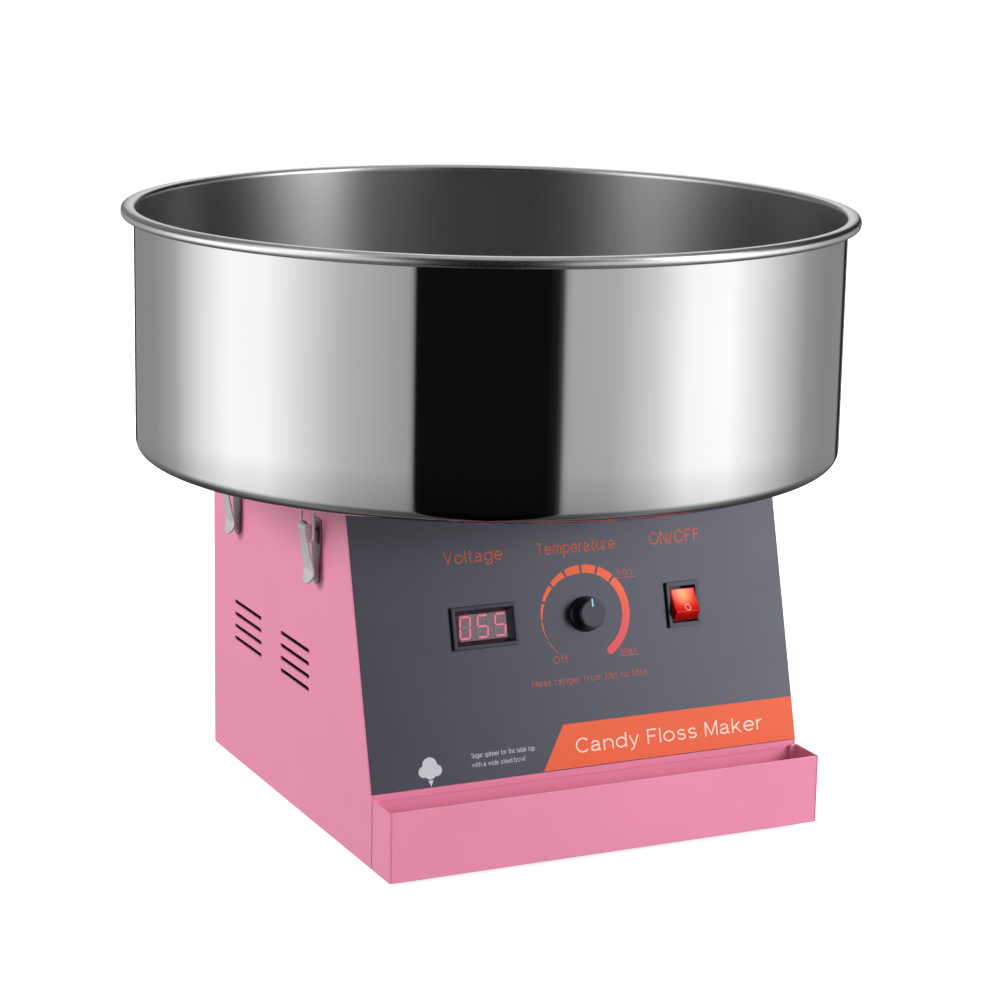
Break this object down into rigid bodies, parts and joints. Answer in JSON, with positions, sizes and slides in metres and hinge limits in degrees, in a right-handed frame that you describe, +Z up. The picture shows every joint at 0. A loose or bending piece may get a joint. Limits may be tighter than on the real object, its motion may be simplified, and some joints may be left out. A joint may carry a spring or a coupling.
{
  "type": "cotton candy machine",
  "caption": "Table-top cotton candy machine with a polished steel bowl latched to a pink body, a leaning control panel and a tray drawer in front.",
  "frame": {"origin": "on the spin axis of the head, at the level of the feet", "axes": "+Z up along the spin axis, -Y towards the control panel and drawer, +X to the right as seen from the front"},
  "size_m": [0.5198, 0.5198, 0.42],
  "materials": {
    "polished_steel": "polished stainless steel, mirror bright with faint turning marks",
    "pink_powder_coat": "pink powder coat, satin, very fine orange peel",
    "black_rubber": "matt black rubber",
    "dark_panel_film": "satin dark grey printed film with orange print",
    "black_plastic": "moulded black plastic, fine satin texture",
    "display_window": "smoky window over lit red seven-segment digits",
    "lit_red_lens": "translucent red plastic, lit from inside",
    "latch_steel": "zinc or nickel plated steel, satin",
    "cast_aluminium": "turned aluminium",
    "plain_steel": "bare machined steel",
    "copper_winding": "copper winding and heating ribbon",
    "brass_parts": "turned brass",
    "brown_phenolic": "brown phenolic laminate",
    "carbon_brush": "pressed carbon",
    "circuit_board": "green laminate with moulded components"
  },
  "bodies": {
    "root": {"bowl": "polished_steel", "latch_catch_front_left": "polished_steel", "latch_catch_rear_left": "polished_steel", "latch_catch_front_right": "polished_steel", "latch_catch_rear_right": "polished_steel", "body_shell": "pink_powder_coat", "back_panel": "pink_powder_coat", "base_plate": "pink_powder_coat", "front_panel": "pink_powder_coat", "foot_front_left": "black_rubber", "foot_front_right": "black_rubber", "foot_rear_left": "black_rubber", "foot_rear_right": "black_rubber", "isolator_front_left": "black_rubber", "isolator_front_right": "black_rubber", "isolator_rear_left": "black_rubber", "isolator_rear_right": "black_rubber", "panel_film": "dark_panel_film", "voltmeter_bezel": "black_plastic", "switch_housing": "black_plastic", "power_inlet": "black_plastic", "voltmeter_display": "display_window", "latch_base_front_left": "latch_steel", "latch_base_rear_left": "latch_steel", "latch_base_front_right": "latch_steel", "latch_base_rear_right": "latch_steel", "motor_plate": "latch_steel", "potentiometer_nut": "latch_steel", "bearing_lower": "latch_steel", "bearing_upper": "latch_steel", "motor_housing": "plain_steel", "potentiometer": "plain_steel", "motor_stator": "copper_winding", "brush_holder": "brown_phenolic", "brush_lower": "carbon_brush", "brush_upper": "carbon_brush", "control_board": "circuit_board"},
    "spinner": {"drive_shaft": "plain_steel", "slip_ring_insulator": "brown_phenolic", "slip_ring_lower": "brass_parts", "slip_ring_upper": "brass_parts", "rotor_core": "plain_steel", "cooling_fan": "black_plastic", "head_base": "cast_aluminium", "heating_ring": "copper_winding", "head_screen": "plain_steel", "head_cap": "cast_aluminium", "head_nut": "brass_parts"},
    "knob": {"knob": "black_plastic", "potentiometer_shaft": "latch_steel"},
    "rocker": {"rocker": "lit_red_lens"},
    "drawer": {"drawer": "pink_powder_coat"},
    "lever_front_left": {"latch_lever_front_left": "latch_steel"},
    "bail_front_left": {"latch_bail_front_left": "latch_steel"},
    "lever_rear_left": {"latch_lever_rear_left": "latch_steel"},
    "bail_rear_left": {"latch_bail_rear_left": "latch_steel"},
    "lever_front_right": {"latch_lever_front_right": "latch_steel"},
    "bail_front_right": {"latch_bail_front_right": "latch_steel"},
    "lever_rear_right": {"latch_lever_rear_right": "latch_steel"},
    "bail_rear_right": {"latch_bail_rear_right": "latch_steel"}
  },
  "joints": [
    {"name": "head_spin", "type": "hinge", "parent": "root", "child": "spinner", "pos_m": [0, 0, 0.268], "axis": [0, 0, 1], "continuous": true},
    {"name": "knob_turn", "type": "hinge", "parent": "root", "child": "knob", "pos_m": [0.0066, -0.14696, 0.15744], "axis": [0, -0.9665, 0.2567], "range_deg": [-150, 136]},
    {"name": "rocker_tip", "type": "hinge", "parent": "root", "child": "rocker", "pos_m": [0.082, -0.14604, 0.15699], "axis": [1, 0, 0], "range_deg": [0, 46]},
    {"name": "drawer_slide", "type": "slide", "parent": "root", "child": "drawer", "axis": [0, -1, 0], "range_m": [0, 0.13]},
    {"name": "lever_front_left_swing", "type": "hinge", "parent": "root", "child": "lever_front_left", "pos_m": [-0.1702, -0.0765, 0.218], "axis": [0, 1, 0], "range_deg": [0, 90]},
    {"name": "bail_front_left_swing", "type": "hinge", "parent": "lever_front_left", "child": "bail_front_left", "pos_m": [-0.1693, -0.0765, 0.2113], "axis": [0, 1, 0], "range_deg": [-75, 0]},
    {"name": "lever_rear_left_swing", "type": "hinge", "parent": "root", "child": "lever_rear_left", "pos_m": [-0.1702, 0.0765, 0.218], "axis": [0, 1, 0], "range_deg": [0, 90]},
    {"name": "bail_rear_left_swing", "type": "hinge", "parent": "lever_rear_left", "child": "bail_rear_left", "pos_m": [-0.1693, 0.0765, 0.2113], "axis": [0, 1, 0], "range_deg": [-75, 0]},
    {"name": "lever_front_right_swing", "type": "hinge", "parent": "root", "child": "lever_front_right", "pos_m": [0.1702, -0.0765, 0.218], "axis": [0, -1, 0], "range_deg": [0, 90]},
    {"name": "bail_front_right_swing", "type": "hinge", "parent": "lever_front_right", "child": "bail_front_right", "pos_m": [0.1693, -0.0765, 0.2113], "axis": [0, -1, 0], "range_deg": [-75, 0]},
    {"name": "lever_rear_right_swing", "type": "hinge", "parent": "root", "child": "lever_rear_right", "pos_m": [0.1702, 0.0765, 0.218], "axis": [0, -1, 0], "range_deg": [0, 90]},
    {"name": "bail_rear_right_swing", "type": "hinge", "parent": "lever_rear_right", "child": "bail_rear_right", "pos_m": [0.1693, 0.0765, 0.2113], "axis": [0, -1, 0], "range_deg": [-75, 0]}
  ],
  "couplings": [
    {"joint": "bail_front_left_swing", "follows": "lever_front_left_swing", "ratio": -0.83},
    {"joint": "bail_rear_left_swing", "follows": "lever_rear_left_swing", "ratio": -0.83},
    {"joint": "bail_front_right_swing", "follows": "lever_front_right_swing", "ratio": -0.83},
    {"joint": "bail_rear_right_swing", "follows": "lever_rear_right_swing", "ratio": -0.83}
  ]
}
